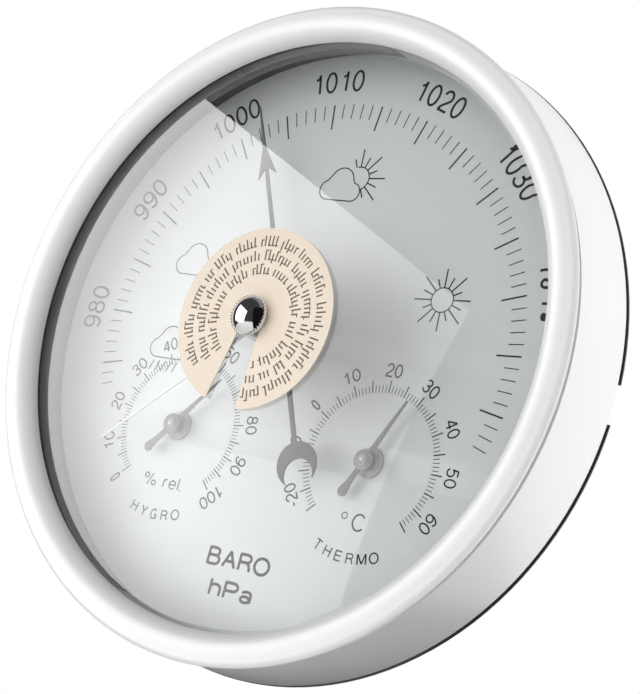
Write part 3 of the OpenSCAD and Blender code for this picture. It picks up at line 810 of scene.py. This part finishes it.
def card_sheet():
    """The split card disc under the knob, open towards the foot of the dial."""
    outer_r, inner_r = 17.8, 2.4
    left_edge = [(-2.35, -1.0), (-6.25, -16.66)]
    right_edge = [(1.35, -17.75), (2.2, -1.2)]
    start = math.degrees(math.atan2(*left_edge[1][::-1])) % 360
    end = math.degrees(math.atan2(*right_edge[0][::-1])) % 360
    rim = arc(0, 0, outer_r, start, end - 360, 150)
    throat_from = math.degrees(math.atan2(-1.2, 2.1))
    throat = arc(0, 0, inner_r, throat_from, 205, 40)
    outline = rim + [right_edge[1]] + throat + [left_edge[0]]
    plate("card_sheet", [outline], CARD_LOW, CARD_HIGH, MAT["tag_card"], "case",
          ["instruction_tag"], bevel=0.04)


def card_marks():
    """Three rows of small marks in place of the card's words: uprights, with bars to some of them."""
    marks = Print()
    heights = {"low": CARD_HIGH, "high": CARD_HIGH + 0.025}
    mark_pitch, word_gap, upright_width, bar_width = 0.86, 0.9, 0.3, 0.22
    draw = random.Random(11)
    for radius, first, last in ((15.0, -134, 172), (12.2, -137, 172), (9.4, -138, 164)):
        pitch = math.degrees(mark_pitch / radius)
        turn, left_in_word = first, 6
        while turn < last:
            if left_in_word == 0:
                left_in_word = draw.randint(3, 9)
                turn += word_gap * pitch
                continue
            left_in_word -= 1
            tall = draw.random()
            foot = radius - (1.3 if tall > 0.9 else 0.8)
            head = radius + (1.3 if tall < 0.25 else 0.6)
            marks.line(polar(foot, turn), polar(head, turn), upright_width, **heights)
            if draw.random() < 0.6:
                level = head - 0.1 if draw.random() < 0.5 else radius - 0.6
                marks.line(polar(level, turn), polar(level, turn + pitch * 0.66), bar_width, **heights)
            turn += pitch
    marks.piece("card_marks", MAT["card_ink"], slot="tag_card")


# ------------------------------------------------------------------ studio


def add_camera():
    """The camera, low and to the right of the dial, tilted sideways."""
    camera_from_dial = (214.4, -56.5, 281.9)
    azimuth, elevation, roll = math.radians(36.65), math.radians(-9.07), math.radians(15.25)
    back = Vector((math.sin(azimuth) * math.cos(elevation), -math.cos(azimuth) * math.cos(elevation),
                   math.sin(elevation)))
    level_right = Vector((0, 0, 1)).cross(back).normalized()
    level_up = back.cross(level_right)
    right = math.cos(roll) * level_right + math.sin(roll) * level_up
    up = -math.sin(roll) * level_right + math.cos(roll) * level_up
    data = bpy.data.cameras.new("camera")
    data.sensor_width = 36
    data.lens = 95.2
    data.clip_start = 0.01
    camera = bpy.data.objects.new("camera", data)
    bpy.context.scene.collection.objects.link(camera)
    camera.matrix_world = Matrix((right, up, back)).transposed().to_4x4()
    camera.location = to_row(*camera_from_dial)
    bpy.context.scene.camera = camera
    return camera


def add_floor():
    """A plain pale floor, well below the instrument."""
    material, _, shader = new_material("floor_white")
    shader.inputs["Base Color"].default_value = (0.8, 0.8, 0.8, 1)
    shader.inputs["Roughness"].default_value = 0.9
    mesh = bpy.data.meshes.new("floor")
    bm = bmesh.new()
    bmesh.ops.create_circle(bm, cap_ends=True, segments=96, radius=2)
    bm.to_mesh(mesh)
    bm.free()
    mesh.materials.append(material)
    floor = bpy.data.objects.new("floor", mesh)
    floor.location = (0, 0, FLOOR_Z)
    bpy.context.scene.collection.objects.link(floor)


def world():
    """White to the camera; as a light, bright behind and to the right, and dim in front."""
    bright_side, dim_below = (0.45, 0.9, 0.1), -0.3
    surround = bpy.data.worlds.new("studio")
    surround.use_nodes = True
    tree = surround.node_tree
    background = tree.nodes["Background"]
    background.inputs["Color"].default_value = (1, 1, 1, 1)
    coords = tree.nodes.new("ShaderNodeTexCoord")
    towards = node(tree, "ShaderNodeVectorMath", operation="DOT_PRODUCT")
    towards.inputs[1].default_value = bright_side
    tree.links.new(coords.outputs["Generated"], towards.inputs[0])
    spread = node(tree, "ShaderNodeMapRange")
    spread.inputs["From Min"].default_value = dim_below
    spread.inputs["To Min"].default_value = WORLD_DIM
    spread.inputs["To Max"].default_value = WORLD_BRIGHT
    tree.links.new(towards.outputs["Value"], spread.inputs["Value"])
    path = tree.nodes.new("ShaderNodeLightPath")
    pick = node(tree, "ShaderNodeMix", data_type="FLOAT")
    tree.links.new(path.outputs["Is Camera Ray"], pick.inputs[0])
    tree.links.new(spread.outputs[0], pick.inputs[2])
    pick.inputs[3].default_value = 1.0
    tree.links.new(pick.outputs[0], background.inputs["Strength"])
    return surround


def lamp_material(name, near, far=None, near_x=0, far_x=1):
    """Light whose strength may change from one side of a panel to the other."""
    material = bpy.data.materials.new(name)
    material.use_nodes = True
    tree = material.node_tree
    tree.nodes.clear()
    coords = tree.nodes.new("ShaderNodeTexCoord")
    split = tree.nodes.new("ShaderNodeSeparateXYZ")
    tree.links.new(coords.outputs["Object"], split.inputs[0])
    spread = node(tree, "ShaderNodeMapRange")
    spread.inputs["From Min"].default_value = near_x
    spread.inputs["From Max"].default_value = far_x
    spread.inputs["To Min"].default_value = near
    spread.inputs["To Max"].default_value = near if far is None else far
    tree.links.new(split.outputs[0], spread.inputs["Value"])
    emission = tree.nodes.new("ShaderNodeEmission")
    tree.links.new(spread.outputs[0], emission.inputs["Strength"])
    out = tree.nodes.new("ShaderNodeOutputMaterial")
    tree.links.new(emission.outputs[0], out.inputs["Surface"])
    return material


def panel(name, corners, material):
    """A flat staged panel that the camera doesn't see."""
    mesh = bpy.data.meshes.new(name)
    mesh.from_pydata(corners, [], [list(range(len(corners)))])
    mesh.materials.append(material)
    sheet = bpy.data.objects.new(name, mesh)
    bpy.context.scene.collection.objects.link(sheet)
    sheet.visible_camera = False
    sheet.visible_shadow = False
    return sheet


def lamps():
    """The large lamp to the front left, seen as a pale panel in the glass, and a soft front fill."""
    y = DIAL_Y - LAMP_DISTANCE
    corners = [(-0.731, y, -1.1), (-0.363, y, 0.395), (-4.8, y, 2.65), (-4.8, y, -1.1)]
    shine = panel("softbox", corners, lamp_material("softbox_light", SOFT_NEAR, SOFT_FAR, -0.4, -1.6))
    shine.visible_diffuse = False
    glow = panel("softbox_glow", corners, lamp_material("softbox_glow", SOFT_DIFFUSE))
    glow.visible_glossy = False
    sheet = [(-1.2, y, -1.5), (1.1, y, -1.5), (1.1, y, 1.3), (-1.2, y, 1.3)]
    fill = panel("front_fill", sheet, lamp_material("front_fill", FRONT_FILL))
    fill.visible_glossy = False
    fill.visible_transmission = False


def dark_material():
    """Matt black for the cards."""
    material, _, shader = new_material("dark_card")
    shader.inputs["Base Color"].default_value = (0.01, 0.01, 0.01, 1)
    shader.inputs["Roughness"].default_value = 1.0
    shader.inputs["Specular IOR Level"].default_value = 0.0
    return material


def dark_card(camera, material):
    """The dark space behind the camera, seen in the chrome."""
    place = camera.matrix_world @ Matrix.Translation((0.25, -0.05, 0.3))
    outline = [(-0.36, -0.5, 0), (0.5, -0.5, 0), (0.5, 0.45, 0), (-0.36, 0.45, 0)]
    card = panel("dark_card", [place @ Vector(v) for v in outline], material)
    card.visible_diffuse = False
    card.visible_transmission = False


def foot_card(material):
    """A shade below the case, on the side of its back."""
    gap = 0.015
    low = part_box("rear_cover")[0].z - gap
    corners = [(-0.12, -0.008, low), (0.06, -0.008, low), (0.06, 0.35, low), (-0.12, 0.35, low)]
    shade = panel("foot_card", corners, material)
    shade.visible_shadow = True


def studio():
    """Camera, floor, lamps and the white surroundings."""
    camera = add_camera()
    bpy.context.scene.world = world()
    bpy.context.scene.view_settings.view_transform = "Standard"
    lamps()
    black = dark_material()
    dark_card(camera, black)
    foot_card(black)
    add_floor()


# ------------------------------------------------------------------ making

case_band()
front_bezel()
dome_glass()
inner_ring()
dial_sheet()
barometer_scale()
thermometer_scale()
hygrometer_scale()
symbols()
barometer_pointer()
for side, turn, word, body in ((1, THERMO_TURN, "thermo", "thermometer_hand"),
                               (-1, HYGRO_TURN, "hygro", "hygrometer_hand")):
    small_hand(side, turn, word + "_needle", body, [word + "_hand"])
    small_hub(side, word + "_hub", body, [word + "_cap"])
    small_boss(side, word + "_boss", [word + "_bush"])
set_needle()
set_knob()
card_sheet()
card_marks()
studio()
